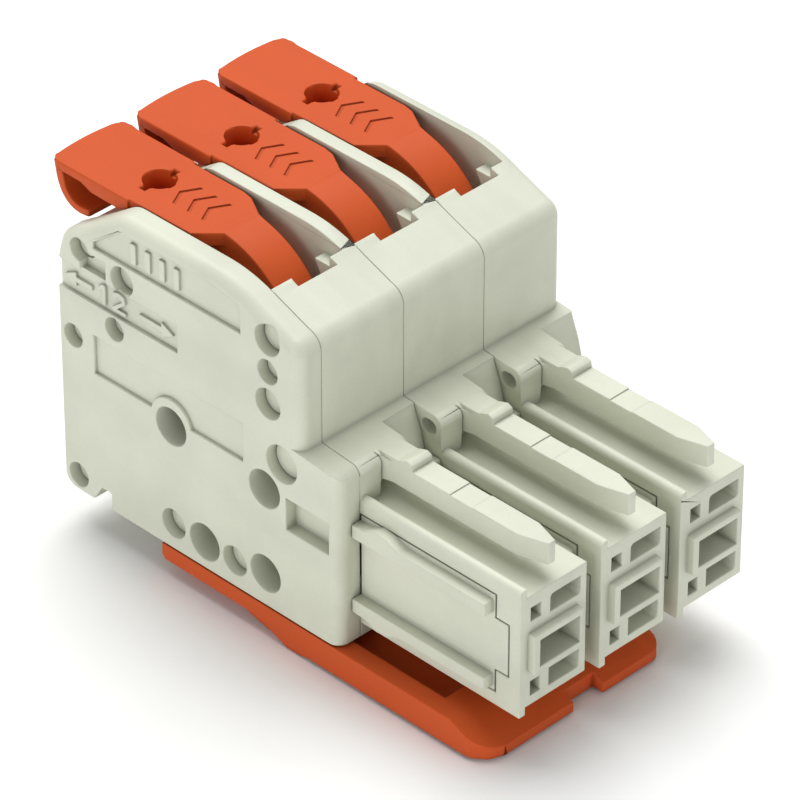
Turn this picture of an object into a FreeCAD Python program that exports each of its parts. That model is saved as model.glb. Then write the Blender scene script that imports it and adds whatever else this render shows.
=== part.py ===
import FreeCAD, Part
import Sketcher
import math
import os

# Lever wire connector, three poles, pluggable.  Millimetres.
# Every body is drawn in the housing frame: x from its own left side, y = 0 at the wire
# entry face and negative towards the mating side, z = 0 at the housing's underside.
# Placements then carry each body to the assembly frame (+Z up, origin under the middle).

DOC = FreeCAD.newDocument("lever_connector")
SHEET = DOC.addObject("Spreadsheet::Sheet", "Dim")

SIZES = [
    ("pole_pitch", 7.62), ("pole_count", 3), ("end_wall", 2.07), ("side_wall", 1.12),
    ("upper_front", 23.45), ("lower_front", 26.98), ("leg_front", 41.73),
    ("body_top", 24.9), ("rear_top", 20.8), ("shoulder_z", 14.0),
    ("leg_width", 6.25), ("leg_bottom", 1.8), ("leg_top", 10.8), ("rim_top", 11.5), ("rim_wall", 0.6),
    ("cover_thick", 0.9), ("cover_gap", 0.09), ("rail_proud", 0.87), ("rail_height", 1.0),
    ("entry_x", 3.25), ("entry_z", 7.1), ("entry_radius", 2.4), ("entry_mouth", 0.7), ("entry_depth", 5.2),
    ("pivot_y", 11.6), ("pivot_z", 17.0), ("post_radius", 1.4), ("hinge_gap", 0.05),
    ("hub_radius", 2.4), ("tongue_left", 1.9), ("tongue_width", 3.2), ("tongue_radius", 7.7),
    ("lever_top", 24.7), ("lever_thick", 1.0), ("handle_reach", 3.05), ("lever_hole", 1.22),
    ("strip_thick", 0.45), ("bow_y", 6.6), ("bow_z", 12.45), ("bow_outer", 2.05), ("spring_width", 4.6),
    ("bar_bottom", 9.55), ("bar_thick", 0.8), ("bar_width", 3.0), ("contact_z", 6.2),
    ("latch_drop", 2.6), ("latch_front", 40.6), ("latch_width", 17.31), ("latch_gap", 0.12),
    ("latch_axis_y", 10.2), ("latch_axis_z", 0.72), ("pin_radius", 0.4), ("lug_radius", 0.66),
    ("peg_gap", 0.05), ("peg_long", 1.2), ("peg_short", 0.8), ("edge_round", 0.95),
]


class Size:
    """A length with the spreadsheet expression that drives it."""

    def __init__(self, value, text):
        self.value = value
        self.text = text

    def mix(self, other, sign, flip=False):
        value, text = (other.value, other.text) if isinstance(other, Size) else (other, repr(other))
        pair = [(self.value, self.text), (value, text)]
        if flip:
            pair.reverse()
        (a, ta), (b, tb) = pair
        result = {"+": a + b, "-": a - b, "*": a * b}[sign]
        return Size(result, f"({ta} {sign} {tb})")

    def __add__(self, other):
        return self.mix(other, "+")

    def __radd__(self, other):
        return self.mix(other, "+", True)

    def __sub__(self, other):
        return self.mix(other, "-")

    def __rsub__(self, other):
        return self.mix(other, "-", True)

    def __mul__(self, other):
        return self.mix(other, "*")

    def __rmul__(self, other):
        return self.mix(other, "*", True)

    def __neg__(self):
        return Size(-self.value, f"(0 - {self.text})")


def fill_sheet():
    """Writes the driving dimensions and returns them by name."""
    named = {}
    for row, (name, value) in enumerate(SIZES, start=1):
        SHEET.set(f"A{row}", name)
        SHEET.set(f"B{row}", str(value))
        SHEET.setAlias(f"B{row}", name)
        named[name] = Size(value, f"Dim.{name}")
    DOC.recompute()
    return named


D = fill_sheet()


def number(size):
    return size.value if isinstance(size, Size) else float(size)


def drive(item, path, size):
    """Sets a property, by expression where the size comes from the sheet."""
    if isinstance(size, Size):
        item.setExpression(path, size.text)


def new_body(name):
    body = DOC.addObject("PartDesign::Body", name)
    body.Label = name
    return body


def place(body, x, y=0.0, z=0.0):
    """Moves a finished body from the housing frame to the assembly frame."""
    width = D["pole_pitch"] * D["pole_count"] + D["end_wall"]
    middle = (D["leg_front"] + 0.6 - D["handle_reach"]) * 0.5
    target = (x - width * 0.5, y + middle, z + D["latch_drop"])
    corner = FreeCAD.Vector(*[number(part) for part in target])
    body.Placement = FreeCAD.Placement(corner, FreeCAD.Rotation())
    for axis, part in zip("xyz", target):
        drive(body, f"Placement.Base.{axis}", part)


def sketch(body, plane, offset, loops):
    """A closed-outline sketch on one of the body's own planes.

    A loop is ("circle", u, v, radius) or a list of corners (u, v); a corner (u, v, mu, mv)
    starts an arc that passes through (mu, mv) and ends at the next corner.
    """
    role = {"XY": "XY_Plane", "XZ": "XZ_Plane", "YZ": "YZ_Plane"}[plane]
    support = [f for f in body.Origin.OriginFeatures if f.Role == role][0]
    drawing = body.newObject("Sketcher::SketchObject", f"{body.Name}_outline")
    drawing.AttachmentSupport = [(support, "")]
    drawing.MapMode = "FlatFace"
    side = -offset if plane == "XZ" else offset
    drawing.AttachmentOffset = FreeCAD.Placement(FreeCAD.Vector(0, 0, number(side)), FreeCAD.Rotation())
    drive(drawing, "AttachmentOffset.Base.z", side)
    for loop in loops:
        if loop[0] == "circle":
            draw_circle(drawing, *loop[1:])
        else:
            draw_loop(drawing, loop)
    return drawing


class Rules:
    """Sketch constraints gathered first, then added and bound to the sheet together."""

    def __init__(self, drawing):
        self.drawing = drawing
        self.rows = []
        self.bound = []

    def add(self, *parts, size=None):
        if isinstance(size, Size):
            self.bound.append((len(self.rows), size))
        values = parts if size is None else (*parts, number(size))
        self.rows.append(Sketcher.Constraint(*values))

    def pin(self, index, end, u, v):
        """Fixes a sketch point at (u, v)."""
        for kind, size, axis in (("DistanceX", u, -2), ("DistanceY", v, -1)):
            if abs(number(size)) < 1e-9:
                self.add("PointOnObject", index, end, axis)
            else:
                self.add(kind, -1, 1, index, end, size=size)

    def finish(self):
        first = self.drawing.ConstraintCount
        self.drawing.addConstraint(self.rows)
        for row, size in self.bound:
            drive(self.drawing, f"Constraints[{first + row}]", size)


def draw_circle(drawing, u, v, radius):
    centre = FreeCAD.Vector(number(u), number(v), 0)
    index = drawing.addGeometry(Part.Circle(centre, FreeCAD.Vector(0, 0, 1), number(radius)), False)
    rules = Rules(drawing)
    rules.pin(index, 3, u, v)
    rules.add("Radius", index, size=radius)
    rules.finish()


def draw_loop(drawing, loop):
    first = drawing.GeometryCount
    rules = Rules(drawing)
    ends = []
    for start, stop in zip(loop, loop[1:] + loop[:1]):
        a = FreeCAD.Vector(number(start[0]), number(start[1]), 0)
        b = FreeCAD.Vector(number(stop[0]), number(stop[1]), 0)
        if len(start) == 2:
            drawing.addGeometry(Part.LineSegment(a, b), False)
            ends.append((1, 2))
            continue
        middle = FreeCAD.Vector(number(start[2]), number(start[3]), 0)
        forward = (middle - a).cross(b - middle).z > 0
        curve = Part.Arc(a, middle, b) if forward else Part.Arc(b, middle, a)
        index = drawing.addGeometry(curve, False)
        ends.append((1, 2) if forward else (2, 1))
        rules.add("Radius", index, size=drawing.Geometry[index].Radius)
    for step, start in enumerate(loop):
        following = (step + 1) % len(loop)
        rules.add("Coincident", first + step, ends[step][1], first + following, ends[following][0])
        rules.pin(first + step, ends[step][0], start[0], start[1])
    rules.finish()


def solid(body, plane, offset, depth, loops, kind="Pad", back=False):
    """Pads or pockets closed outlines by depth along the plane's normal (YZ +x, XY +z, XZ -y)."""
    drawing = sketch(body, plane, offset, loops)
    feature = body.newObject(f"PartDesign::{kind}", f"{body.Name}_{kind.lower()}")
    feature.Profile = drawing
    feature.Length = number(depth)
    drive(feature, "Length", depth)
    feature.Reversed = back if kind == "Pad" else not back
    drawing.Visibility = False
    body.Tip = feature
    return feature


def add(body, plane, offset, depth, *loops):
    return solid(body, plane, offset, depth, list(loops))


def cut(body, plane, offset, depth, *loops):
    """Cuts from offset, over depth along the plane's normal."""
    return solid(body, plane, offset, depth, list(loops), "Pocket")


def box(low_u, high_u, low_v, high_v):
    return [(low_u, low_v), (high_u, low_v), (high_u, high_v), (low_u, high_v)]


def dress(body, kind, size, chosen):
    """Fillets or chamfers the tip's edges whose middle point is accepted by chosen."""
    DOC.recompute()
    tip = body.Tip
    names = []
    for number_of, edge in enumerate(tip.Shape.Edges, start=1):
        bounds = edge.BoundBox
        middle = edge.valueAt((edge.FirstParameter + edge.LastParameter) / 2)
        if chosen(middle, bounds):
            names.append(f"Edge{number_of}")
    feature = body.newObject(f"PartDesign::{kind}", f"{body.Name}_{kind.lower()}")
    feature.Base = (tip, names)
    path = "Radius" if kind == "Fillet" else "Size"
    setattr(feature, path, number(size))
    drive(feature, path, size)
    body.Tip = feature
    return feature


# ---------------------------------------------------------------- housing outline

PEGS = [
    (1.28, 13.01, 0.91), (5.48, 15.53, 0.90), (20.42, 21.96, 1.17), (20.42, 19.43, 0.94),
    (20.41, 16.85, 1.17), (21.64, 12.55, 1.45), (1.34, 1.33, 0.95), (10.92, 2.10, 1.14),
    (16.94, 2.12, 1.14), (6.37, 19.87, 1.10), (2.20, 20.44, 0.92),
]
RODS = [(19.95, 9.68, 1.47, 2.5), (13.98, 2.14, 1.45, 2.8), (19.94, 2.64, 1.45, 3.1)]
PORT = (10.90, 10.22, 1.47)


def housing_outline():
    """Side outline shared by the end plate and the pole housings."""
    front, shoulder, top = -D["upper_front"], D["shoulder_z"], D["body_top"]
    lower = -D["lower_front"]
    return [
        (-1.0, 0.1, -0.29, 0.39), (0.0, 1.1), (0.0, D["rear_top"] - 0.4, -0.12, 20.68), (-0.5, 21.13),
        (-5.6, 24.55, -6.1, 24.8), (-6.7, top), (-14.5, top, -17.2, 24.66), (-19.5, 23.9),
        (-22.4, 22.8, -23.15, 22.35), (front, 21.6), (front, shoulder + 0.25),
        (-26.2, shoulder, -26.76, 13.77), (lower, 13.2), (lower, 0.0), (-4.65, 0.0), (-4.65, 1.3),
        (-4.4, 1.42), (-3.7, 1.36), (-2.9, 0.1),
    ]


def round_outer_side(body, x):
    """Rounds the outer side's top and front edges, at the plane x."""
    def upper(middle, bounds):
        on_side = abs(bounds.XMin - x) < 1e-4 and abs(bounds.XMax - x) < 1e-4
        return on_side and middle.z > 14.3 and middle.y < -5.65
    dress(body, "Fillet", D["edge_round"], upper)
    round_lower_corner(body, x, 1 if x == 0 else -1)


def round_lower_corner(body, x, inward):
    """Rounds the upright edge below the shoulder; inward is +1 on the left side and -1 on the right."""
    front, radius = -D["lower_front"].value, D["edge_round"].value
    nick = radius * (1 - math.sqrt(0.5))
    corner = [(x - 0.2 * inward, front - 0.2), (x + radius * inward, front - 0.2),
              (x + radius * inward, front, x + nick * inward, front + nick), (x, front + radius),
              (x - 0.2 * inward, front + radius)]
    cut(body, "XY", -0.1, 14.2, corner)


# ---------------------------------------------------------------- end plate

def end_plate():
    """Left cover with rod holes, peg holes, strip gauge and blank label field."""
    body = new_body("end_plate")
    wall = D["end_wall"]
    add(body, "YZ", 0.0, wall, housing_outline())
    round_outer_side(body, 0.0)
    holes = [("circle", -y, z, r) for y, z, r, *_ in PEGS + RODS + [PORT]]
    cut(body, "YZ", 0.0, wall, *holes)
    cut(body, "YZ", 0.0, 0.8, [(-2.2, 18.9), (-4.75, 18.9), (-4.75, 20.6), (-2.2, 20.6)])
    recess = [(-3.34, 10.87), (-3.34, 14.04), (-17.9, 14.04), (-17.9, 10.87),
              (-12.85, 10.87, -10.9, 12.42), (-8.95, 10.87)]
    cut(body, "YZ", 0.0, 0.3, recess)
    cut(body, "YZ", 0.0, 1.0, box(-26.1, -22.0, 7.4, 9.97))
    label = [(-3.6, 21.7), (-6.2, 23.75), (-10.4, 23.95), (-14.5, 23.95), (-17.6, 23.55), (-17.85, 23.3),
             (-17.85, 21.24), (-3.6, 21.24)]
    cut(body, "YZ", 0.0, 0.3, label)
    cut(body, "YZ", 0.0, 0.3, box(-11.7, -0.0, 16.65, 18.9))
    gauge_marks(body)
    return body


def gauge_marks(body):
    """Raised marks in the two fields: a strip length arrow pair with 12, and plain bars."""
    arrow_in = [(-0.5, 17.75), (-1.7, 18.35), (-1.7, 17.95), (-3.3, 17.95), (-3.3, 17.55),
                (-1.7, 17.55), (-1.7, 17.15)]
    arrow_out = [(-11.3, 17.75), (-10.1, 17.15), (-10.1, 17.55), (-7.9, 17.55), (-7.9, 17.95),
                 (-10.1, 17.95), (-10.1, 18.35)]
    one = [(-4.25, 17.0), (-4.6, 17.0), (-4.6, 18.6), (-4.3, 18.6), (-3.85, 18.25), (-3.85, 17.95),
           (-4.25, 18.2)]
    two = [(-5.2, 17.0), (-6.6, 17.0), (-6.6, 17.28), (-5.75, 17.28), (-6.6, 18.0), (-6.45, 18.5),
           (-5.9, 18.65), (-5.35, 18.5), (-5.2, 18.1), (-5.5, 18.1), (-5.9, 18.35), (-6.25, 18.05),
           (-5.2, 17.25)]
    add(body, "YZ", 0.1, 0.25, arrow_in, arrow_out, one, two)
    bars = [box(-y - 0.55, -y, 21.7, 23.35) for y in (7.2, 8.6, 10.0, 11.4)]
    add(body, "YZ", 0.1, 0.25, *bars)


# ---------------------------------------------------------------- pole housing

def housing_shell(body):
    """Outer block, opened from the left for the clamp and from the top for the lever."""
    pitch, inner = D["pole_pitch"], D["pole_pitch"] - D["side_wall"]
    add(body, "YZ", 0.0, pitch, housing_outline())
    if body.Name.endswith("3"):
        round_outer_side(body, D["pole_pitch"].value)
    cavity = [(-1.3, 1.4), (-22.0, 1.4), (-22.0, 17.5), (-18.7, 21.6), (-18.7, 27.0), (1.0, 27.0),
              (1.0, 20.4), (-4.6, 20.4), (-4.6, 19.1), (-1.3, 19.1)]
    cut(body, "YZ", 0.0, inner, cavity)
    cut(body, "YZ", 0.0, inner + 0.3, [(1.0, 20.4), (-4.9, 20.4), (-5.7, 21.6), (-5.7, 27.0), (1.0, 27.0)])
    cut(body, "YZ", 1.85, 3.55, [(-18.5, 20.9), (-19.45, 22.2), (-19.45, 27.0), (-18.5, 27.0)])
    lever_rest = [(-17.1, 23.3), (-19.0, 23.3), (-19.0, 20.0), (-18.7, 20.15)]
    add(body, "YZ", inner - 0.95, 1.0, lever_rest)


def wire_entry(body):
    """Guide block behind the rear wall with the round wire funnel through it."""
    inner = D["pole_pitch"] - D["side_wall"]
    add(body, "YZ", 0.0, inner + 0.01, box(-D["entry_depth"], -1.25, 4.1, 10.2))
    bore = ("circle", D["entry_x"], D["entry_z"], D["entry_radius"])
    cut(body, "XZ", 0.0, D["entry_depth"] + 0.1, bore)
    radius = D["entry_radius"].value

    def chosen(middle, bounds):
        return abs(bounds.YMin) < 1e-4 and abs(bounds.YMax) < 1e-4 and abs(bounds.XLength - 2 * radius) < 0.01
    dress(body, "Chamfer", D["entry_mouth"], chosen)


def column_radius(y, z, peg_radius):
    """Radius of the column behind a peg, kept clear of the lever's sweep and the spring's bow."""
    from_axle = math.hypot(y - D["pivot_y"].value, z - D["pivot_z"].value)
    from_bow = math.hypot(y - D["bow_y"].value, z - D["bow_z"].value)
    free = [from_bow - D["bow_outer"].value - 0.2]
    if from_axle > D["tongue_radius"].value:
        free.append(from_axle - D["tongue_radius"].value - 0.15)
    return min([peg_radius + 0.1] + free)


def inner_posts(body):
    """Lever axle, columns behind the pegs, the pegs and the matching sockets."""
    inner = D["pole_pitch"] - D["side_wall"]
    add(body, "YZ", 0.15, inner - 0.1, ("circle", -D["pivot_y"], D["pivot_z"], D["post_radius"]))
    for y, z, r in PEGS:
        add(body, "YZ", 0.0, inner + 0.05, ("circle", -y, z, column_radius(y, z, r)))
    for y, z, r, depth in RODS:
        add(body, "YZ", 0.0, inner + 0.05, ("circle", -y, z, r + 0.35))
        cut(body, "YZ", 0.0, depth, ("circle", -y, z, r))
    long_peg = body.Name.endswith("1")
    length = D["peg_long"] if long_peg else D["peg_short"]
    pegs = [("circle", -y, z, r - D["peg_gap"]) for y, z, r in PEGS]
    solid(body, "YZ", 0.05, length + 0.05, pegs, "Pad", True)
    sockets = [("circle", -y, z, r) for y, z, r in PEGS]
    solid(body, "YZ", D["pole_pitch"], D["peg_short"] + 0.1, sockets, "Pocket", True)


def shoulder(body):
    """Valley beside each knuckle, the notch at the arm's root and the side hole."""
    pitch = D["pole_pitch"]
    valley = [(-24.45, 14.7), (-24.45, 14.0), (-25.1, 12.3), (-25.5, 10.8), (-27.5, 10.8), (-27.5, 14.7)]
    cut(body, "YZ", 4.55, pitch - 4.5, valley)
    cut(body, "XY", 11.2, 3.0, [(1.88, -26.3), (2.1, -27.3), (2.3, -27.3)])
    cut(body, "YZ", 1.95, 2.6, box(-27.1, -25.9, 10.8, 12.0))
    oblong = [(-25.6, 12.34, -25.1, 12.88), (-25.6, 13.42), (-25.95, 13.42, -26.45, 12.88), (-25.95, 12.34)]
    cut(body, "YZ", 0.0, 1.5, oblong)


def plug_leg(body):
    """Hollow mating leg with its rimmed left wall and the seat of its cover."""
    front, rear = -D["leg_front"], -D["lower_front"] + 0.1
    add(body, "YZ", 0.0, D["leg_width"], box(front, rear, D["leg_bottom"], D["leg_top"]))
    add(body, "YZ", 0.0, D["rim_wall"], box(front, rear, 1.15, D["rim_top"]))

    def rim_edge(middle, bounds):
        along = bounds.YLength > 10 and bounds.XLength < 1e-4 and bounds.ZLength < 1e-4
        return along and abs(middle.x) < 1e-4 and abs(middle.z - 11.5) < 1e-3
    dress(body, "Fillet", 0.45, rim_edge)
    gap = D["cover_gap"]
    seat = [(rear, 2.30 - gap), (rear, 10.14 + gap), (-39.45 - gap, 10.14 + gap), (-39.45 - gap, 8.27 + gap),
            (-40.64 - gap, 8.27 + gap), (-40.64 - gap, 4.13 - gap), (-39.45 - gap, 4.13 - gap),
            (-39.45 - gap, 2.30 - gap)]
    cut(body, "YZ", 0.0, D["cover_thick"] + 0.02, seat)
    hollow = [(-38.6, 3.3), (-27.3, 3.3), (-27.3, 5.0), (-21.9, 5.0), (-21.9, 7.6), (-27.3, 7.6),
              (-27.3, 9.3), (-38.6, 9.3)]
    cut(body, "YZ", 0.0, D["leg_width"] - 0.95, hollow)


def leg_face(body):
    """Contact window in its raised frame, with the relief windows around it."""
    front = -D["leg_front"]
    add(body, "XZ", front + 0.05, 0.65, box(0.75, 5.4, 4.7, 7.8))
    cut(body, "XZ", -38.5, 3.85, box(1.35, 5.1, 5.12, 7.27))
    deep = [(2.86, 8.51), (5.4, 8.51, 5.61, 8.59), (5.69, 8.8), (5.69, 9.89),
            (3.15, 9.89, 2.94, 9.81), (2.86, 9.6)]
    low = [(2.81, 2.47), (5.36, 2.47, 5.57, 2.55), (5.65, 2.76), (5.65, 3.89), (2.81, 3.89)]
    cut(body, "XZ", front + 2.6, 2.65, deep, low)
    cut(body, "XZ", front + 1.6, 1.65, box(1.02, 1.99, 8.65, 9.76), box(1.03, 1.95, 2.57, 3.71))


def guide_arm(body):
    """Free arm above the leg, with its root bump and narrowed tip."""
    plan = [(2.02, -25.7), (2.02, -26.7), (2.28, -27.76), (2.28, -39.1), (2.95, -41.35), (3.6, -41.35),
            (4.23, -39.3), (4.23, -25.7)]
    add(body, "XY", 12.0, 1.74, plan)
    bump = [(-25.7, 13.0), (-25.7, 14.0), (-28.25, 14.0), (-28.32, 14.12), (-29.06, 14.37),
            (-29.52, 14.18), (-29.56, 13.0)]
    add(body, "YZ", 2.28, 1.95, bump)
    cut(body, "XY", 13.66, 0.2, box(2.2, 4.3, -35.05, -33.0))


def hinge_lugs(body):
    """Lugs under the housing that carry the latch pin."""
    y, z, r = -D["latch_axis_y"], -D["latch_axis_z"], D["lug_radius"]
    diagonal = r * 0.7071
    lug = [(y - r, 0.3), (y - r, z, y - diagonal, z - diagonal), (y, z - r, y + diagonal, z - diagonal),
           (y + r, z), (y + r, 0.3)]
    add(body, "YZ", 2.6, 2.0, lug)
    cut(body, "YZ", 2.5, 2.2, ("circle", y, z, D["pin_radius"]))


def pole_housing(index):
    body = new_body(f"pole_housing_{index}")
    housing_shell(body)
    wire_entry(body)
    inner_posts(body)
    shoulder(body)
    plug_leg(body)
    leg_face(body)
    guide_arm(body)
    if index < 3:
        hinge_lugs(body)
    return body


# ---------------------------------------------------------------- leg cover

def leg_cover(index):
    """Snap-in side cover of a leg, with its two outer guide rails."""
    body = new_body(f"leg_cover_{index}")
    rear = -D["lower_front"] - 0.05
    plate = [(rear, 2.30), (rear, 10.14), (-39.45, 10.14), (-39.45, 8.27), (-40.64, 8.27), (-40.64, 4.13),
             (-39.45, 4.13), (-39.45, 2.30)]
    add(body, "YZ", 0.0, D["cover_thick"], plate)
    high, low = 8.72, 3.68
    upper = [(rear, high), (-39.3, high), (-39.3, high + 1.0), (-31.4, high + 1.0), (-30.3, 10.2),
             (-29.3, 10.3), (-28.2, 9.85), (rear, 9.8)]
    lower = [(y, high + low - z) for y, z in upper]
    solid(body, "YZ", 0.0, D["rail_proud"], [upper, lower], "Pad", True)
    return body


# ---------------------------------------------------------------- lever

def lever(index):
    """Operating lever: finger plate, tongue, cam nose and hinge eye."""
    body = new_body(f"lever_{index}")
    y0, z0, top = -D["pivot_y"], D["pivot_z"], D["lever_top"]
    left, wide, radius = D["tongue_left"], D["tongue_width"], D["tongue_radius"].value
    end = (y0.value + radius * math.cos(math.radians(142)), z0.value + radius * math.sin(math.radians(142)))
    mid = (y0.value + radius * math.cos(math.radians(117)), z0.value + radius * math.sin(math.radians(117)))
    web = [(-12.3, top, mid[0], mid[1]), end, (-13.6, 17.6), (-10.0, 17.6), (-8.2, top - 0.9), (-8.2, top)]
    add(body, "YZ", left, wide, web)
    nose = [(-12.6, 18.6), (-15.2, 16.52, -15.64, 15.52), (-14.62, 15.05), (-11.6, 15.4), (-10.5, 17.6)]
    add(body, "YZ", left, wide, nose)
    add(body, "YZ", 0.35, 5.9, ("circle", y0, z0, D["hub_radius"]))
    arm = [(0.22, -4.6), (0.3, -10.7), (1.9, -12.3), (5.1, -12.35), (6.2, -10.5), (6.38, -9.6), (6.38, -4.6)]
    add(body, "XY", top - D["lever_thick"], D["lever_thick"], arm)
    handle_plate(body)
    finger_curl(body)
    bore = ("circle", y0, z0, D["post_radius"] + D["hinge_gap"])
    cut(body, "YZ", 0.0, 7.0, bore)
    hole_x = D["entry_x"] + 0.12
    add(body, "XY", top - 2.2, 1.5, ("circle", hole_x, -4.5, D["lever_hole"] + 0.55))
    cut(body, "XY", top - 1.7, 1.8, ("circle", hole_x, -4.5, D["lever_hole"]))
    cut(body, "XY", top - 0.5, 0.6, box(1.75, 5.0, -4.75, -4.25))
    lever_marks(body)
    return body


def handle_plate(body):
    """Wide finger plate with its rounded corners and side skirts."""
    top, tip = D["lever_top"], D["handle_reach"]
    plan = [(0.05, -4.85), (0.05, 1.9, 0.28, 2.55), (0.9, tip - 0.2, 3.3, tip), (5.8, tip - 0.15, 6.4, 2.55),
            (6.62, 1.3), (6.62, -4.7)]
    add(body, "XY", top - 0.75, 0.75, plan)
    skirt = [(-4.6, top - 0.7), (0.0, top - 0.7), (-1.2, top - 1.15), (-3.7, top - 1.2), (-4.6, top - 1.0)]
    add(body, "YZ", 0.05, 0.7, skirt)
    add(body, "YZ", 5.92, 0.7, skirt)
    add(body, "YZ", 0.6, 5.5, [(-5.6, top - 0.95), (-5.6, top - 0.3), (-3.0, top - 0.3), (-4.6, top - 0.95)])


def finger_curl(body):
    """Lip that curls down and back under the free end of the finger plate."""
    top = D["lever_top"].value
    lip = [(2.45, top - 0.05), (2.1, top - 2.0, 1.35, top - 3.0), (-0.1, top - 3.4), (-0.9, top - 3.3),
           (-0.9, top - 2.75), (-0.1, top - 2.8, 1.0, top - 2.45), (1.5, top - 1.7), (1.75, top - 0.5),
           (1.75, top - 0.05)]
    add(body, "YZ", 0.1, 6.48, lip)


def lever_marks(body):
    """Shallow plain chevrons that point to the wire side."""
    top = D["lever_top"]
    for start in (-7.2, -8.6, -10.0):
        chevron = [(2.0, start), (3.3, start + 0.7), (4.6, start), (4.6, start - 0.28), (3.3, start + 0.42),
                   (2.0, start - 0.28)]
        cut(body, "XY", top - 0.12, 0.2, chevron)


# ---------------------------------------------------------------- metal parts

def clamp_spring(index):
    """Fixed half of the cage clamp spring: anchor leg on the bar and the bow."""
    body = new_body(f"clamp_spring_{index}")
    y0, z0 = -D["bow_y"].value, D["bow_z"].value
    out, thick = D["bow_outer"].value, D["strip_thick"].value
    inn = out - thick
    turn = math.sqrt(0.5)
    strip = [(-11.0, z0 - out), (y0, z0 - out, y0 + out * turn, z0 - out * turn),
             (y0 + out, z0, y0 + out * turn, z0 + out * turn), (y0, z0 + out),
             (y0, z0 + inn, y0 + inn * turn, z0 + inn * turn),
             (y0 + inn, z0, y0 + inn * turn, z0 - inn * turn), (y0, z0 - inn), (-11.0, z0 - inn)]
    add(body, "YZ", 0.95, D["spring_width"], strip)
    return body


def clamp_cage(index):
    """Moving half of the clamp spring: upper leg, frame with window, and rolled root."""
    body = new_body(f"clamp_cage_{index}")
    y0, z0 = -D["bow_y"].value, D["bow_z"].value
    out, thick = D["bow_outer"].value, D["strip_thick"].value
    roll = out - thick - 0.08
    leg = [(y0 - 0.12, z0 + out), (-15.2, z0 + out), (-15.2, 8.65), (-14.75, 8.65),
           (-14.75, z0 + out - thick), (y0 - 0.12, z0 + out - thick)]
    add(body, "YZ", 0.95, D["spring_width"], leg)
    root = [(y0 - 0.12, z0 + out), (y0 - 0.9, z0 + out), (y0 - 0.9, z0 + 1.1),
            (y0, z0 + roll - thick, y0 + 0.6, z0 + 0.9), (y0 + 0.9, z0 + 0.45),
            (y0 + 1.24, z0 + 0.75, y0 + 0.75, z0 + 1.22), (y0 - 0.12, z0 + roll)]
    add(body, "YZ", 1.4, 3.7, root)
    cut(body, "XZ", -14.6, 0.7, box(1.55, 4.95, 9.5, 13.6))
    return body


def current_bar(index):
    """Current bar over the wire, stepped down to the two-tine fork contact."""
    body = new_body(f"current_bar_{index}")
    low, thick, mid = D["bar_bottom"], D["bar_thick"], D["contact_z"]
    bar = [(-7.2, low), (-7.2, low + thick), (-17.6, low + thick), (-17.6, mid + 0.4), (-28.8, mid + 0.4),
           (-28.8, mid + 1.5), (-30.0, mid + 1.7), (-35.2, mid + 0.75), (-38.2, mid + 1.25),
           (-38.2, mid + 0.75), (-35.2, mid + 0.2), (-30.0, mid + 1.1), (-29.6, mid), (-30.0, mid - 1.1),
           (-35.2, mid - 0.2), (-38.2, mid - 0.75), (-38.2, mid - 1.25), (-35.2, mid - 0.75),
           (-30.0, mid - 1.7), (-28.8, mid - 1.5), (-28.8, mid - 0.4), (-16.8, mid - 0.4), (-16.8, low)]
    add(body, "YZ", 1.75, D["bar_width"], bar)
    return body


def contact_spring(index):
    """Steel clip outside the fork, pressing both tines on the header pin."""
    body = new_body(f"contact_spring_{index}")
    mid = D["contact_z"]
    upper = [(-29.2, mid + 2.0), (-29.2, mid + 2.3), (-31.0, mid + 2.3), (-35.4, mid + 1.2),
             (-36.2, mid + 1.5), (-36.2, mid + 1.25), (-35.4, mid + 0.9), (-31.0, mid + 2.0)]
    lower = [(y, mid * 2 - z) for y, z in upper]
    add(body, "YZ", 1.75, 3.25, upper, lower)
    add(body, "YZ", 4.85, 0.25, box(-31.2, -29.2, mid - 2.3, mid + 2.3))
    return body


# ---------------------------------------------------------------- latch

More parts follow.
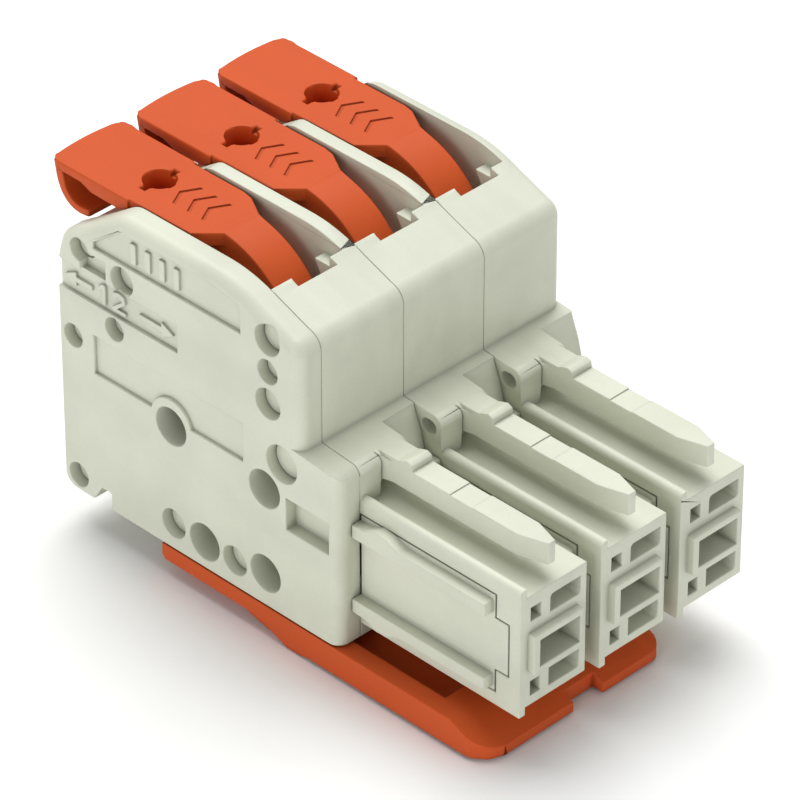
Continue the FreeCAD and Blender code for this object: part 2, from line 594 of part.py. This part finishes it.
def latch_plate():
    """Locking plate under the housing, with hollowed top, front ramp and catch notch."""
    body = new_body("latch_plate")
    top, front, wide = -D["latch_gap"], -D["latch_front"], D["latch_width"]
    nose = [(-9.65, -1.1), (-9.65, top), (-37.4, top), (-40.6, -1.62), (-40.6, -2.42)]
    cheek = nose + [(-23.9, -2.42, -22.6, -2.6), (-21.6, -2.45), (-20.3, -1.93, -19.2, -1.5),
                    (-17.8, -1.42), (-9.95, -1.42)]
    belly = nose + [(-23.9, -2.42, -21.5, -2.6), (-19.6, -2.45), (-17.9, -2.1, -17.0, -1.7),
                    (-16.0, -1.42), (-9.95, -1.42)]
    add(body, "YZ", 0.0, wide, cheek)
    add(body, "YZ", 0.45, wide - 0.9, belly)
    tray = [(-9.0, 0.3), (-9.0, -1.0), (-33.8, -1.0, -34.9, -0.75), (-35.5, top), (-35.5, 0.3)]
    cut(body, "YZ", 1.5, wide - 3.0, tray)
    cut(body, "XY", -3.0, 3.2, box(8.55, 11.35, front - 0.2, front + 0.95))
    left_corner = [(-0.2, front - 0.2), (2.2, front - 0.2), (2.2, front, 0.45, front + 0.9),
                   (0.0, front + 2.9), (-0.2, front + 2.9)]
    right_corner = [(wide + 0.2, front - 0.2), (wide + 0.2, front + 1.4),
                    (wide, front + 1.4, wide - 0.35, front + 0.35), (wide - 1.2, front),
                    (wide - 1.2, front - 0.2)]
    cut(body, "XY", -3.0, 3.2, left_corner, right_corner)
    windows = [box(D["end_wall"] + left, D["end_wall"] + left + 2.4, -11.25, -9.2) for left in (2.4, 10.02)]
    spring_window = box(7.6, 9.3, -11.25, -9.2)
    cut(body, "XY", -2.0, 2.2, spring_window, *windows)
    for left in (1.2, 6.95, 8.95, 14.75):
        add(body, "YZ", left, 1.0, knuckle_outline())
    axle = ("circle", -D["latch_axis_y"], -D["latch_axis_z"], D["pin_radius"] + D["hinge_gap"])
    cut(body, "YZ", 1.0, 15.2, axle)
    return body


def knuckle_outline():
    """Section of a latch hinge knuckle around the pin."""
    y, z = -D["latch_axis_y"], -D["latch_axis_z"]
    return [(y + 0.54, z - 0.5), (y + 0.54, z + 0.1, y, z + 0.6), (y - 0.6, z + 0.1), (y - 0.6, z - 0.5)]


def latch_pin():
    """Steel hinge pin through the lugs and the latch knuckles."""
    body = new_body("latch_pin")
    add(body, "YZ", 1.1, 14.7, ("circle", -D["latch_axis_y"], -D["latch_axis_z"], D["pin_radius"]))
    return body


def latch_spring():
    """Small wound spring around the pin, between the two middle knuckles."""
    body = new_body("latch_spring")
    y, z = -D["latch_axis_y"], -D["latch_axis_z"]
    for turn in range(2):
        ring = ("circle", y, z, 0.62)
        hole = ("circle", y, z, 0.46)
        add(body, "YZ", 8.05 + 0.42 * turn, 0.3, ring, hole)
    add(body, "YZ", 8.05, 0.72, box(y - 0.62, y - 0.5, z - 0.15, z + 0.15))
    return body


# ---------------------------------------------------------------- assembly

def build():
    """Builds every body in order and places it."""
    made = [(end_plate(), 0.0)]
    for index in range(1, 4):
        left = D["end_wall"] + D["pole_pitch"] * (index - 1)
        for maker in (pole_housing, leg_cover, lever, clamp_spring, clamp_cage, current_bar, contact_spring):
            made.append((maker(index), left))
    for maker in (latch_plate, latch_pin, latch_spring):
        made.append((maker(), 0.0))
    for body, left in made:
        place(body, left)
    DOC.recompute()
    return [body for body, left in made]


def check(bodies):
    """Stops on any feature in error and on any body that is not one valid solid."""
    for item in DOC.Objects:
        if "Invalid" in item.State or "Error" in item.State:
            raise RuntimeError(f"{item.Name} is {item.State}")
    for body in bodies:
        shape = body.Shape
        if shape.isNull() or not shape.isValid() or len(shape.Solids) != 1:
            raise RuntimeError(f"{body.Name}: {len(shape.Solids)} solids, valid {shape.isValid()}")


def export(bodies):
    os.makedirs("parts", exist_ok=True)
    for body in bodies:
        body.Shape.exportStep(f"parts/{body.Label}.step")


BODIES = build()
check(BODIES)
export(BODIES)
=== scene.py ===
"""Visual model of a three-pole lever wire connector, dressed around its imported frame."""
import logging
import math
from dataclasses import dataclass, field
from enum import Enum
from typing import Callable, Optional, Union

import bmesh
import bpy
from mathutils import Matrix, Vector


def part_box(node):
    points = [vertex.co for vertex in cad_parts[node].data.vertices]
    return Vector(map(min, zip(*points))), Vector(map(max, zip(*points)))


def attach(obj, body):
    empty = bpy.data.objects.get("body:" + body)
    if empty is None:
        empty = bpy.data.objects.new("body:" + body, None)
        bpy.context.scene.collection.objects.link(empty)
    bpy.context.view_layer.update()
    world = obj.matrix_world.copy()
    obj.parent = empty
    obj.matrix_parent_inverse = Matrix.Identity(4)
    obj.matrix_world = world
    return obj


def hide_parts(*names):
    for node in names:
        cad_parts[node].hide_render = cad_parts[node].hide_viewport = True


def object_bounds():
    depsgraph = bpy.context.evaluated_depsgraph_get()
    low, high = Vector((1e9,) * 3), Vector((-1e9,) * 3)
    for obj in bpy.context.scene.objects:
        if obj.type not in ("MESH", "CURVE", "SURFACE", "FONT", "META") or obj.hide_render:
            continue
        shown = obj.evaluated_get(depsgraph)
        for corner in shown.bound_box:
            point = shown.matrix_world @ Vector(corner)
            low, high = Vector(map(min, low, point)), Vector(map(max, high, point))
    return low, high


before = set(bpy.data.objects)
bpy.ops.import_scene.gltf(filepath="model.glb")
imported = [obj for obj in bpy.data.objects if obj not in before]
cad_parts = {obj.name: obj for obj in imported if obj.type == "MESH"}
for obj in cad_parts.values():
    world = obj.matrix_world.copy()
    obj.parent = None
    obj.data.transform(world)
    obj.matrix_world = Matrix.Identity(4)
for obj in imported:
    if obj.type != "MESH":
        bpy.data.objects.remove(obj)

LOG = logging.getLogger("lever_connector")
CAD_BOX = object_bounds()
MM = 0.001
POLES = (1, 2, 3)

MERGE_GAP = 0.002 * MM      # corners this close are one
FLAT_ANGLE = 0.6            # degrees between faces that are one flat face
FOLD_ANGLE = 1.0            # degrees from which an edge counts as folded
ROOM_PER_WIDTH = 2.3        # how much wider than its rounding a face has to be
ROOM_SHARES = (0.1, 0.5, 0.9)   # places along an edge where a face is measured
LEAST_SPAN = 1e-9           # metres along an edge under which another edge crosses nothing
LEAST_ROOM = 1e-7           # metres across a face under which another edge is the same one
SMOOTH_ANGLE = 38.0         # degrees below which shading runs smoothly over an edge


# ------------------------------------------------------------------ shader arithmetic

Number = Union[float, "Value"]


class Value:
    """A shader socket that takes part in Python arithmetic."""

    def __init__(self, shading: "Shading", socket: bpy.types.NodeSocket) -> None:
        """Wraps one output socket of a node tree.

        Args:
            shading: the tree that new nodes go into.
            socket: the output socket.
        """
        self.shading = shading
        self.socket = socket

    def math(self, operation: str, *parts: Number) -> "Value":
        """Adds a Math node.

        Args:
            operation: the Math node's operation.
            parts: its inputs in order.

        Returns:
            The node's result.
        """
        made = self.shading.node("ShaderNodeMath", {"operation": operation}, dict(enumerate(parts)))
        return Value(self.shading, made.outputs[0])

    def __add__(self, other: Number) -> "Value":
        """Sum of two values."""
        return self.math("ADD", self, other)

    def __radd__(self, other: Number) -> "Value":
        """Sum with a plain number on the left."""
        return self.math("ADD", other, self)

    def __sub__(self, other: Number) -> "Value":
        """Difference of two values."""
        return self.math("SUBTRACT", self, other)

    def __rsub__(self, other: Number) -> "Value":
        """Difference with a plain number on the left."""
        return self.math("SUBTRACT", other, self)

    def __mul__(self, other: Number) -> "Value":
        """Product of two values."""
        return self.math("MULTIPLY", self, other)

    def __rmul__(self, other: Number) -> "Value":
        """Product with a plain number on the left."""
        return self.math("MULTIPLY", other, self)

    def band(self, low: float, high: float) -> "Value":
        """Rises smoothly from 0 at low to 1 at high.

        Args:
            low: where the rise starts.
            high: where it ends.

        Returns:
            The stepped value.
        """
        settings = {"interpolation_type": "SMOOTHSTEP"}
        inputs = {"Value": self, "From Min": low, "From Max": high}
        made = self.shading.node("ShaderNodeMapRange", settings, inputs)
        return Value(self.shading, made.outputs["Result"])


class Shading:
    """One material's node tree, with every node made by one method."""

    def __init__(self, name: str) -> None:
        """Starts an empty material.

        Args:
            name: the material's name.
        """
        self.material = bpy.data.materials.new(name)
        self.material.use_nodes = True
        self.tree = self.material.node_tree
        self.tree.nodes.clear()
        coordinates = self.node("ShaderNodeTexCoord")
        self.place = coordinates.outputs["Object"]

    def node(self, kind: str, settings: Optional[dict] = None,
             inputs: Optional[dict] = None) -> bpy.types.Node:
        """Adds one node.

        Args:
            kind: the node's type.
            settings: its properties, set first.
            inputs: socket name or index to a value, a Value or a socket.

        Returns:
            The new node.
        """
        made = self.tree.nodes.new(kind)
        for name, setting in (settings or {}).items():
            setattr(made, name, setting)
        for key, given in (inputs or {}).items():
            if isinstance(given, Value):
                given = given.socket
            if isinstance(given, bpy.types.NodeSocket):
                self.tree.links.new(given, made.inputs[key])
            else:
                made.inputs[key].default_value = given
        return made

    def stretched(self, scale: tuple[float, float, float]) -> bpy.types.NodeSocket:
        """Object coordinates scaled per axis.

        Args:
            scale: the factors along X, Y and Z.

        Returns:
            The mapped vector socket.
        """
        mapping = self.node("ShaderNodeMapping", None, {"Vector": self.place, "Scale": scale})
        return mapping.outputs[0]

    def noise(self, per_metre: float, detail: float = 3.0,
              where: Optional[bpy.types.NodeSocket] = None) -> Value:
        """Noise with a given number of features per metre.

        Args:
            per_metre: the noise's scale.
            detail: octaves.
            where: coordinates, or the object's own.

        Returns:
            The noise between 0 and 1.
        """
        inputs = {"Vector": where or self.place, "Scale": per_metre, "Detail": detail}
        return Value(self, self.node("ShaderNodeTexNoise", None, inputs).outputs[0])

    def cells(self, per_metre: float) -> Value:
        """Distance to the nearest cell centre, for grains and pits.

        Args:
            per_metre: the pattern's scale.

        Returns:
            The distance.
        """
        inputs = {"Vector": self.place, "Scale": per_metre}
        return Value(self, self.node("ShaderNodeTexVoronoi", None, inputs).outputs["Distance"])

    def blend(self, factor: Number, first: object, second: object) -> bpy.types.NodeSocket:
        """Mixes two colours.

        Args:
            factor: 0 gives first and 1 gives second.
            first: a colour or a colour socket.
            second: a colour or a colour socket.

        Returns:
            The mixed colour socket.
        """
        inputs = {0: factor, 6: opaque(first), 7: opaque(second)}
        return self.node("ShaderNodeMix", {"data_type": "RGBA"}, inputs).outputs[2]

    def edges(self, radius: float) -> tuple[Value, bpy.types.NodeSocket]:
        """Finds the edges of a shape.

        Args:
            radius: how far from an edge it reaches, in metres.

        Returns:
            A mask that is 1 on edges, and the rounded normal.
        """
        rounded = self.node("ShaderNodeBevel", {"samples": 6}, {"Radius": radius}).outputs[0]
        plain = self.node("ShaderNodeNewGeometry").outputs["Normal"]
        dot = self.node("ShaderNodeVectorMath", {"operation": "DOT_PRODUCT"}, {0: rounded, 1: plain})
        mask = 1 - Value(self, dot.outputs["Value"])
        return mask.band(0.02, 0.3), rounded

    def recess(self, reach: float) -> Value:
        """Mask that is 1 deep in corners and recesses, for painted shade.

        Args:
            reach: how far walls are felt, in metres.

        Returns:
            The mask.
        """
        made = self.node("ShaderNodeAmbientOcclusion", {"samples": 8}, {"Distance": reach})
        return (1 - Value(self, made.outputs["AO"])).band(0.05, 0.75)

    def bump(self, height: Value, depth: float,
             normal: Optional[bpy.types.NodeSocket] = None) -> bpy.types.NodeSocket:
        """Bump from a height.

        Args:
            height: the height between 0 and 1.
            depth: what 1 stands for, in metres.
            normal: the normal to start from.

        Returns:
            The bumped normal socket.
        """
        inputs = {"Height": height, "Distance": depth, "Strength": 1.0}
        if normal is not None:
            inputs["Normal"] = normal
        return self.node("ShaderNodeBump", None, inputs).outputs[0]

    def surface(self, **sockets: object) -> bpy.types.Material:
        """Ends the tree in a Principled shader.

        Args:
            sockets: the shader's inputs, with _ for each space.

        Returns:
            The finished material.
        """
        inputs = {name.replace("_", " "): value for name, value in sockets.items()}
        shader = self.node("ShaderNodeBsdfPrincipled", None, inputs)
        self.node("ShaderNodeOutputMaterial", None, {"Surface": shader.outputs[0]})
        return self.material


def opaque(colour: object) -> object:
    """Gives a plain RGB colour its alpha, and passes a socket on.

    Args:
        colour: a colour or a colour socket.

    Returns:
        What a colour socket can be given.
    """
    return (*colour, 1.0) if isinstance(colour, tuple) else colour


def tinted(colour: tuple[float, float, float], factor: float) -> tuple[float, float, float]:
    """Makes a colour lighter or darker.

    Args:
        colour: the colour.
        factor: over 1 is lighter, under 1 is darker.

    Returns:
        The new colour.
    """
    return tuple(min(1.0, part * factor) for part in colour)


# ------------------------------------------------------------------ finishes

@dataclass(frozen=True)
class MouldedPlastic:
    """Injection moulded polyamide with a fine eroded grain, painted shade in recesses and a painted
    highlight on edges.
    """

    name: str
    colour: tuple[float, float, float]
    roughness: float = 0.46
    spread: float = 0.06
    grain_depth: float = 0.004 * MM
    # strength of the painted highlight that lightens the edges
    painted_edge_highlight: float = 0.35
    # strength of the painted shade in corners and recesses
    recess_shade: float = 0.55
    gloss: float = 0.42

    def make(self) -> bpy.types.Material:
        """Builds the material.

        Returns:
            The finished material.
        """
        shade = Shading(self.name)
        cloud = shade.noise(160.0, 4.0)
        flow = shade.noise(420.0, 2.0, shade.stretched((1.0, 0.12, 0.5)))
        grain = shade.noise(7500.0, 2.0)
        pits = shade.cells(5200.0).band(0.05, 0.45)
        edge, rounded = shade.edges(0.12 * MM)
        dark, light = tinted(self.colour, 1 - self.spread), tinted(self.colour, 1 + self.spread)
        base = shade.blend(cloud.band(0.3, 0.7) * 0.6 + flow.band(0.35, 0.65) * 0.4, dark, light)
        speckled = shade.blend((1 - pits) * 0.12, base, tinted(self.colour, 0.7))
        # painted shade: ambient occlusion darkens the colour in corners and recesses
        painted_hollow_shade = shade.recess(0.9 * MM) * self.recess_shade
        shaded = shade.blend(painted_hollow_shade, speckled, tinted(self.colour, 0.3))
        # painted highlight: lightens the colour along edges, broken up by noise
        edge_highlight_mask = edge * self.painted_edge_highlight * cloud.band(0.2, 0.8)
        edge_tinted = shade.blend(edge_highlight_mask, shaded, tinted(self.colour, 1.22))
        rough = self.roughness + (grain - 0.5) * 0.16 + (cloud - 0.5) * 0.1 - edge * 0.08
        normal = shade.bump(grain * 0.6 + pits * 0.4, self.grain_depth, rounded)
        return shade.surface(Base_Color=edge_tinted, Roughness=rough, Normal=normal, IOR=1.52,
                             Specular_IOR_Level=self.gloss, Subsurface_Weight=0.0)


class Metal(Enum):
    """Named metals of the inner parts: colour, tint on wear, roughness."""

    SPRING = ((0.56, 0.55, 0.53), (0.36, 0.31, 0.25), 0.30)
    TINNED = ((0.74, 0.73, 0.70), (0.62, 0.38, 0.24), 0.34)
    PIN = ((0.62, 0.62, 0.63), (0.40, 0.38, 0.36), 0.22)


@dataclass(frozen=True)
class RolledMetal:
    """Strip or wire with rolling lines and worn edges."""

    name: str
    metal: Metal
    lines: tuple[float, float, float] = (1.0, 0.05, 1.0)

    def make(self) -> bpy.types.Material:
        """Builds the material.

        Returns:
            The finished material.
        """
        colour, tint, roughness = self.metal.value
        shade = Shading(self.name)
        rolled = shade.noise(9000.0, 3.0, shade.stretched(self.lines))
        stain = shade.noise(650.0, 4.0)
        grains = shade.cells(3000.0)
        edge, rounded = shade.edges(0.06 * MM)
        base = shade.blend(stain.band(0.45, 0.8) * 0.45, colour, tinted(colour, 0.72))
        edge_tinted = shade.blend(edge * stain.band(0.3, 0.7) * 0.6, base, tint)
        rough = roughness + (rolled - 0.5) * 0.24 + grains * 0.08
        normal = shade.bump(rolled * 0.7 + grains * 0.3, 0.002 * MM, rounded)
        return shade.surface(Base_Color=edge_tinted, Metallic=1.0, Roughness=rough, Normal=normal)


PALE_PLASTIC = MouldedPlastic("pale_polyamide", (0.64, 0.66, 0.54))
ORANGE_PLASTIC = MouldedPlastic("orange_polyamide", (0.60, 0.088, 0.016), roughness=0.55, gloss=0.2,
                                spread=0.03, painted_edge_highlight=0.2)
SPRING_STRIP = RolledMetal("spring_strip", Metal.SPRING)
TINNED_STRIP = RolledMetal("tinned_strip", Metal.TINNED)
TURNED_PIN = RolledMetal("turned_pin", Metal.PIN, (0.05, 1.0, 1.0))


@dataclass(frozen=True)
class PaleFloor:
    """Plain pale studio floor."""

    name: str = "pale_floor"

    def make(self) -> bpy.types.Material:
        """Builds the material.

        Returns:
            The finished material.
        """
        shade = Shading(self.name)
        base = shade.blend(shade.noise(30.0).band(0.3, 0.7), (0.93, 0.93, 0.925), (0.95, 0.95, 0.945))
        return shade.surface(Base_Color=base, Roughness=0.7)


# ------------------------------------------------------------------ mesh helpers

def select_only(piece: bpy.types.Object) -> None:
    """Deselects everything and makes one object selected and active.

    Args:
        piece: the object.
    """
    if bpy.context.mode != "OBJECT":
        bpy.ops.object.mode_set(mode="OBJECT")
    bpy.ops.object.select_all(action="DESELECT")
    piece.select_set(True)
    bpy.context.view_layer.objects.active = piece


def apply_modifier(piece: bpy.types.Object, kind: str, **settings: object) -> None:
    """Adds a modifier and applies it.

    Args:
        piece: the mesh object.
        kind: the modifier's type.
        settings: its properties.
    """
    select_only(piece)
    modifier = piece.modifiers.new(kind.lower(), kind)
    for name, setting in settings.items():
        setattr(modifier, name, setting)
    bpy.ops.object.modifier_apply(modifier=modifier.name)


def merged_copy(node: str, name: str) -> bpy.types.Object:
    """Copies a CAD node's shape as one clean mesh.

    Args:
        node: the CAD node.
        name: the new piece's name.

    Returns:
        The copy, with its flat faces whole again.
    """
    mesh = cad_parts[node].data.copy()
    mesh.materials.clear()
    piece = bpy.data.objects.new(name, mesh)
    bpy.context.scene.collection.objects.link(piece)
    select_only(piece)
    bpy.ops.mesh.customdata_custom_splitnormals_clear()
    bpy.ops.object.mode_set(mode="EDIT")
    bpy.ops.mesh.select_all(action="SELECT")
    bpy.ops.mesh.remove_doubles(threshold=MERGE_GAP)
    bpy.ops.mesh.dissolve_limited(angle_limit=math.radians(FLAT_ANGLE), use_dissolve_boundaries=False)
    bpy.ops.object.mode_set(mode="OBJECT")
    return piece


def room(face: bmesh.types.BMFace, edge: bmesh.types.BMEdge) -> float:
    """Measures a face's width straight inward from one of its edges.

    Args:
        face: the face.
        edge: one of its edges.

    Returns:
        The least distance to a folded edge across the face, from three places on the edge.
    """
    start, end = (corner.co for corner in edge.verts)
    along = (end - start).normalized()
    inward = face.normal.cross(along).normalized()
    if inward.dot(face.calc_center_median() - start) < 0:
        inward.negate()
    nearest = max(abs((corner.co - start).dot(inward)) for corner in face.verts)
    for other in face.edges:
        if other is edge or other.calc_face_angle(math.pi) < math.radians(FOLD_ANGLE):
            continue
        (u0, v0), (u1, v1) = (((corner.co - start).dot(along), (corner.co - start).dot(inward))
                              for corner in other.verts)
        for share in ROOM_SHARES:
            u = share * (end - start).length
            if min(u0, u1) <= u <= max(u0, u1) and abs(u1 - u0) > LEAST_SPAN:
                across = v0 + (v1 - v0) * (u - u0) / (u1 - u0)
                if across > LEAST_ROOM:
                    nearest = min(nearest, across)
    return nearest


def soften(piece: bpy.types.Object, width: float, sharp: float = 40.0, segments: int = 2) -> None:
    """Rounds the outward edges that have room for it.

    Args:
        piece: the mesh object.
        width: the rounding's width in metres.
        sharp: the least angle between faces, in degrees.
        segments: faces across the rounding.
    """
    mesh = bmesh.new()
    mesh.from_mesh(piece.data)
    weights = mesh.edges.layers.float
    weight = weights.get("bevel_weight_edge") or weights.new("bevel_weight_edge")
    for edge in mesh.edges:
        if len(edge.link_faces) != 2 or not edge.is_convex:
            continue
        turned = math.degrees(edge.calc_face_angle(0.0))
        if turned <= sharp:
            continue
        if min(room(face, edge) for face in edge.link_faces) > ROOM_PER_WIDTH * width:
            edge[weight] = 1.0
    mesh.to_mesh(piece.data)
    mesh.free()
    apply_modifier(piece, "BEVEL", width=width, segments=segments, limit_method="WEIGHT",
                   use_clamp_overlap=False, miter_outer="MITER_ARC", harden_normals=False)


def finish_mesh(piece: bpy.types.Object) -> None:
    """Smooths the shading over slight folds and keeps large faces flat.

    Args:
        piece: the mesh object.
    """
    select_only(piece)
    bpy.ops.object.shade_smooth_by_angle(angle=math.radians(SMOOTH_ANGLE))
    apply_modifier(piece, "WEIGHTED_NORMAL", mode="FACE_AREA", weight=60, keep_sharp=True)


def dress(piece: bpy.types.Object, material: bpy.types.Material, body: str) -> None:
    """Gives a piece its material and body.

    Args:
        piece: the finished object.
        material: what it is made of.
        body: the CAD body that it moves with.
    """
    piece.data.materials.clear()
    piece.data.materials.append(material)
    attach(piece, body)


def softened_node(node: str, name: str, width: float) -> bpy.types.Object:
    """A CAD node's shape with moulded edges, which stands for the node.

    Args:
        node: the CAD node.
        name: the new piece's name.
        width: the edge rounding in metres.

    Returns:
        The new piece.
    """
    piece = merged_copy(node, name)
    soften(piece, width)
    finish_mesh(piece)
    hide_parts(node)
    return piece


# ------------------------------------------------------------------ sub-assemblies

@dataclass
class Housing:
    """End plate, pole housings and leg covers in pale moulded plastic."""

    material: bpy.types.Material
    edge: float = 0.09 * MM
    cover_edge: float = 0.07 * MM
    names: list[str] = field(default_factory=list)

    def build(self) -> list[bpy.types.Object]:
        """Builds every housing piece.

        Returns:
            The pieces.
        """
        made = [softened_node("end_plate", "end_plate_shell", self.edge)]
        for pole in POLES:
            made.append(softened_node(f"pole_housing_{pole}", f"pole_shell_{pole}", self.edge))
            made.append(softened_node(f"leg_cover_{pole}", f"leg_cover_skin_{pole}", self.cover_edge))
        for piece in made:
            dress(piece, self.material, "housing")
        return made


@dataclass
class FingerLever:
    """One operating lever."""

    pole: int
    material: bpy.types.Material
    edge: float = 0.16 * MM

    def build(self) -> list[bpy.types.Object]:
        """Builds the lever.

        Returns:
            The pieces.
        """
        piece = softened_node(f"lever_{self.pole}", f"finger_lever_{self.pole}", self.edge)
        dress(piece, self.material, f"lever_{self.pole}_body")
        return [piece]


@dataclass
class CageClamp:
    """Fixed and moving halves of one cage clamp spring."""

    pole: int
    material: bpy.types.Material
    edge: float = 0.05 * MM

    def build(self) -> list[bpy.types.Object]:
        """Builds both halves.

        Returns:
            The pieces.
        """
        fixed = softened_node(f"clamp_spring_{self.pole}", f"clamp_bow_{self.pole}", self.edge)
        dress(fixed, self.material, "housing")
        moving = softened_node(f"clamp_cage_{self.pole}", f"cage_strip_{self.pole}", self.edge)
        dress(moving, self.material, f"cage_{self.pole}_body")
        return [fixed, moving]


@dataclass
class ContactSet:
    """Current bar with its fork, and the steel spring over the fork."""

    pole: int
    bar_material: bpy.types.Material
    spring_material: bpy.types.Material
    edge: float = 0.05 * MM

    def build(self) -> list[bpy.types.Object]:
        """Builds the bar and its spring.

        Returns:
            The pieces.
        """
        bar = softened_node(f"current_bar_{self.pole}", f"current_bar_strip_{self.pole}", self.edge)
        dress(bar, self.bar_material, "housing")
        over, named = f"contact_spring_{self.pole}", f"contact_spring_strip_{self.pole}"
        spring = softened_node(over, named, self.edge)
        dress(spring, self.spring_material, "housing")
        return [bar, spring]


@dataclass
class Latch:
    """Locking plate with its hinge pin and wound return spring."""

    plate_material: bpy.types.Material
    spring_material: bpy.types.Material
    pin_material: bpy.types.Material
    edge: float = 0.09 * MM
    wire: float = 0.07 * MM
    wire_sides: int = 10
    turns: int = 4
    steps: int = 28
    leg: float = 0.55 * MM
    pin_edge: float = 0.08 * MM

    def build(self) -> list[bpy.types.Object]:
        """Builds the plate, the pin and the spring.

        Returns:
            The pieces.
        """
        plate = softened_node("latch_plate", "locking_plate", self.edge)
        dress(plate, self.plate_material, "latch_body")
        pin = softened_node("latch_pin", "hinge_pin", self.pin_edge)
        dress(pin, self.pin_material, "housing")
        spring = self.wound_spring()
        dress(spring, self.spring_material, "housing")
        return [plate, pin, spring]

    def wound_spring(self) -> bpy.types.Object:
        """Winds the return spring around the hinge pin.

        Returns:
            The spring, which stands for its CAD node.
        """
        low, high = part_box("latch_spring")
        pin_low, pin_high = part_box("latch_pin")
        axis = (pin_low + pin_high) / 2
        coil = (pin_high.z - pin_low.z) / 2 + self.wire * 2
        pitch = (high.x - low.x - 2 * self.wire) / self.turns
        bpy.ops.object.select_all(action="DESELECT")
        bpy.ops.mesh.primitive_circle_add(vertices=self.wire_sides, radius=self.wire)
        spring = bpy.context.object
        spring.name = "return_spring"
        bpy.ops.object.mode_set(mode="EDIT")
        bpy.ops.transform.rotate(value=math.pi / 2, orient_axis="X", center_override=(0, 0, 0))
        bpy.ops.transform.translate(value=(0, 0, coil))
        bpy.ops.object.mode_set(mode="OBJECT")
        apply_modifier(spring, "SCREW", axis="X", screw_offset=pitch, iterations=self.turns,
                       steps=self.steps, render_steps=self.steps, use_merge_vertices=False)
        bpy.ops.object.mode_set(mode="EDIT")
        bpy.ops.mesh.select_all(action="SELECT")
        bpy.ops.transform.translate(value=(low.x + self.wire, axis.y, axis.z))
        bpy.ops.mesh.select_all(action="DESELECT")
        bpy.ops.mesh.select_non_manifold()
        bpy.ops.mesh.fill_holes(sides=0)
        bpy.ops.mesh.select_all(action="SELECT")
        bpy.ops.mesh.normals_make_consistent(inside=False)
        bpy.ops.object.mode_set(mode="OBJECT")
        self.draw_out_ends(spring)
        finish_mesh(spring)
        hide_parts("latch_spring")
        return spring

    def draw_out_ends(self, spring: bpy.types.Object) -> None:
        """Extends both cut ends of the wire into straight legs.

        Args:
            spring: the wound wire, with its ends capped.
        """
        caps = [face.index for face in spring.data.polygons if len(face.vertices) == self.wire_sides]
        for cap in caps:
            select_only(spring)
            bpy.ops.object.mode_set(mode="EDIT")
            bpy.ops.mesh.select_all(action="DESELECT")
            bpy.ops.object.mode_set(mode="OBJECT")
            spring.data.polygons[cap].select = True
            outward = spring.data.polygons[cap].normal * self.leg
            bpy.ops.object.mode_set(mode="EDIT")
            bpy.ops.mesh.select_mode(type="FACE")
            bpy.ops.mesh.extrude_region_move(TRANSFORM_OT_translate={"value": tuple(outward)})
            bpy.ops.object.mode_set(mode="OBJECT")


# ------------------------------------------------------------------ studio

@dataclass(frozen=True)
class SoftLight:
    """One square area light that looks at the part, in metres and watts."""

    name: str
    place: tuple[float, float, float]
    size: float
    watts: float

    def build(self) -> None:
        """Adds the light."""
        lamp = bpy.data.lights.new(self.name, "AREA")
        lamp.size = self.size
        lamp.energy = self.watts
        light = bpy.data.objects.new(self.name, lamp)
        bpy.context.scene.collection.objects.link(light)
        light.location = self.place
        light.rotation_euler = (-Vector(self.place)).to_track_quat("-Z", "Y").to_euler()


LIGHTS = (
    SoftLight("key_light", (0.22, 0.28, 0.80), 0.75, 8.2),
    SoftLight("side_light", (-0.75, -0.15, 0.20), 0.50, 2.3),
    SoftLight("front_light", (0.15, -0.80, 0.30), 0.50, 1.1),
)


@dataclass
class Studio:
    """Pale floor, soft lights and the camera."""

    floor_size: float = 3.0
    floor_gap: float = 0.05 * MM
    distance: float = 0.41133
    lens: float = 273.4
    sensor: float = 36.0
    aim_shift: tuple[float, float, float] = (0.00013, -0.00053, -0.00038)
    world_strength: float = 0.3

    def build(self) -> None:
        """Sets the floor, the world, the lights and the camera."""
        self.floor()
        self.world()
        for light in LIGHTS:
            light.build()
        self.camera()

    def floor(self) -> None:
        """Lays the floor under the lowest point of the part."""
        bpy.ops.object.select_all(action="DESELECT")
        height = CAD_BOX[0][2] - self.floor_gap
        bpy.ops.mesh.primitive_plane_add(size=self.floor_size, location=(0, 0, height))
        floor = bpy.context.object
        floor.name = "studio_floor"
        floor.data.materials.append(PaleFloor().make())

    def world(self) -> None:
        """Gives an even pale surround."""
        world = bpy.data.worlds.new("studio_world")
        world.use_nodes = True
        background = world.node_tree.nodes["Background"]
        background.inputs["Color"].default_value = (1.0, 1.0, 1.0, 1.0)
        background.inputs["Strength"].default_value = self.world_strength
        bpy.context.scene.world = world

    def camera(self) -> None:
        """Looks down the body diagonal from the front left."""
        middle = (Vector(CAD_BOX[0]) + Vector(CAD_BOX[1])) / 2
        aim = middle + Vector(self.aim_shift)
        away = Vector((-1.0, -1.0, 1.0)).normalized()
        data = bpy.data.cameras.new("camera")
        data.lens = self.lens
        data.sensor_width = self.sensor
        camera = bpy.data.objects.new("camera", data)
        bpy.context.scene.collection.objects.link(camera)
        camera.location = aim + away * self.distance
        camera.rotation_euler = (-away).to_track_quat("-Z", "Y").to_euler()
        bpy.context.scene.camera = camera
        bpy.context.scene.view_settings.view_transform = "Standard"


# ------------------------------------------------------------------ assembly


def main() -> None:
    """Builds every sub-assembly in order and reports its pieces."""
    logging.basicConfig(level=logging.INFO)
    pale, orange = PALE_PLASTIC.make(), ORANGE_PLASTIC.make()
    spring, tinned, steel = SPRING_STRIP.make(), TINNED_STRIP.make(), TURNED_PIN.make()
    groups: list[Callable[[], list[bpy.types.Object]]] = [Housing(pale).build]
    for pole in POLES:
        groups += [FingerLever(pole, orange).build, CageClamp(pole, spring).build,
                   ContactSet(pole, tinned, spring).build]
    groups.append(Latch(orange, spring, steel).build)
    for build in groups:
        for piece in build():
            LOG.info("%s: %d faces", piece.name, len(piece.data.polygons))
    Studio().build()


if __name__ == "__main__":
    main()
